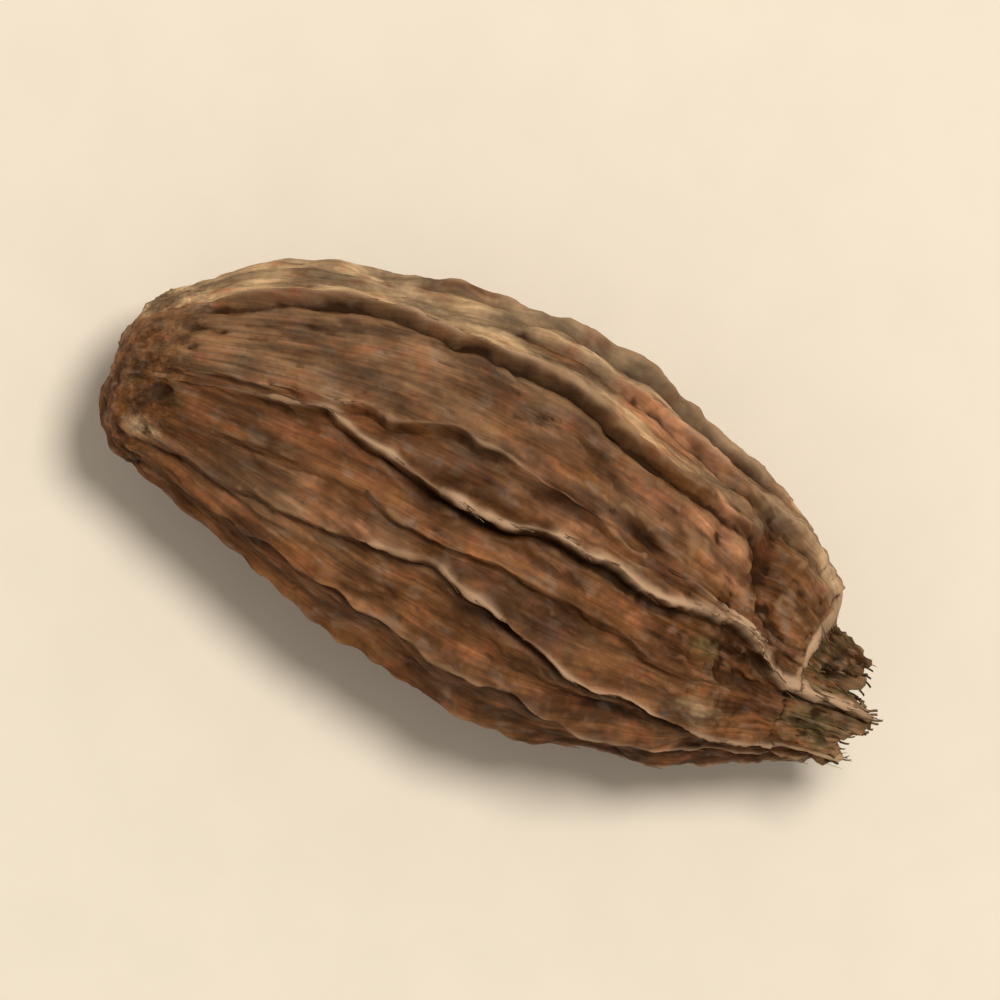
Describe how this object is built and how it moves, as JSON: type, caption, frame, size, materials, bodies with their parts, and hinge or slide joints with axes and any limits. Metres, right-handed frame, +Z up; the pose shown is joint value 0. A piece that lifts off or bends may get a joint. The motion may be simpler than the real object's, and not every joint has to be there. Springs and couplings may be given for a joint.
{
  "type": "black cardamom pod",
  "caption": "Whole dried black cardamom pod lying on its side, with wandering ribs, a blunt stalk end and a torn flower collar.",
  "frame": {"origin": "on the ground under the middle of the pod's box, at the height of the flat spot that it rests on", "axes": "+X along the pod from the stalk end to the flower end, +Y to its side, +Z up"},
  "size_m": [0.032, 0.0156, 0.0125],
  "materials": {
    "husk": "dull dry brown skin, rough and fibrous"
  },
  "bodies": {
    "root": {"pod": "husk"}
  },
  "joints": []
}
